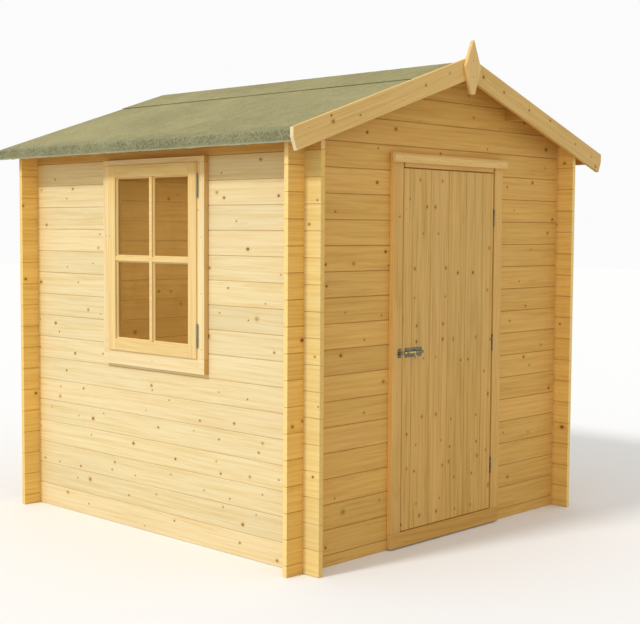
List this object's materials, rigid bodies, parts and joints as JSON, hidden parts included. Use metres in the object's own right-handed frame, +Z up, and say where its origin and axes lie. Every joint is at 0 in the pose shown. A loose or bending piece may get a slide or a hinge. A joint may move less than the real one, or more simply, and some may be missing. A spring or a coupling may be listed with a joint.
{
  "type": "log cabin shed",
  "caption": "Small interlocking-log garden cabin with a low felted saddle roof, clipped barge boards and a diamond finial, an outward-opening boarded door and a four-pane side window.",
  "frame": {"origin": "on the ground under the plan centre of the walls, at the underside of the middle floor bearer", "axes": "+X to the right seen from the door side, -Y out of the door, -X out of the window wall, +Z up"},
  "size_m": [2.355, 2.2814, 2.3799],
  "materials": {
    "log_wood": "planed softwood, untreated",
    "frame_wood": "planed softwood",
    "trim_wood": "planed softwood",
    "door_wood": "planed softwood boards",
    "roof_wood": "sawn softwood",
    "floor_wood": "sawn softwood boards",
    "felt": "mineral-faced roofing felt",
    "glass": "clear glazing",
    "hinge_steel": "zinc-plated",
    "bolt_steel": "aged plated steel",
    "bolt_brass": "satin"
  },
  "bodies": {
    "cabin": {"left_wall_lower_logs": "log_wood", "left_wall_front_logs": "log_wood", "left_wall_back_logs": "log_wood", "left_wall_top_log": "log_wood", "right_wall_logs": "log_wood", "back_wall_logs": "log_wood", "back_gable_logs": "log_wood", "front_starter_log": "log_wood", "front_wall_left_logs": "log_wood", "front_wall_right_logs": "log_wood", "door_infill_log": "log_wood", "front_gable_logs": "log_wood", "ridge_purlin": "roof_wood", "side_purlins": "roof_wood", "roof_boards_left": "roof_wood", "roof_boards_right": "roof_wood", "felt_left": "felt", "felt_right": "felt", "felt_ridge_strip": "felt", "barge_left": "trim_wood", "barge_right": "trim_wood", "finial": "trim_wood", "window_frame_stiles": "frame_wood", "window_frame_sill": "frame_wood", "window_frame_head": "frame_wood", "sash_stiles": "frame_wood", "sash_rails": "frame_wood", "window_bars": "frame_wood", "window_glass": "glass", "door_jamb_left": "frame_wood", "door_jamb_right": "frame_wood", "door_head": "frame_wood", "door_sill": "frame_wood", "door_drip_rail": "trim_wood", "frame_hinges": "hinge_steel", "bolt_keep": "bolt_steel", "floor_bearers": "floor_wood", "floor_boards": "floor_wood", "eaves_battens": "roof_wood", "window_hinges": "hinge_steel"},
    "door": {"door_boards": "door_wood", "door_ledges": "door_wood", "leaf_hinges": "hinge_steel", "bolt_guide": "bolt_steel"},
    "bolt": {"bolt_rod": "bolt_brass"}
  },
  "joints": [
    {"name": "door_hinge", "type": "hinge", "parent": "cabin", "child": "door", "pos_m": [0.35, -1.0405, 0.9], "axis": [0, 0, 1], "range_deg": [0, 110]},
    {"name": "bolt_slide", "type": "slide", "parent": "door", "child": "bolt", "axis": [-1, 0, 0], "range_m": [0, 0.03]}
  ]
}
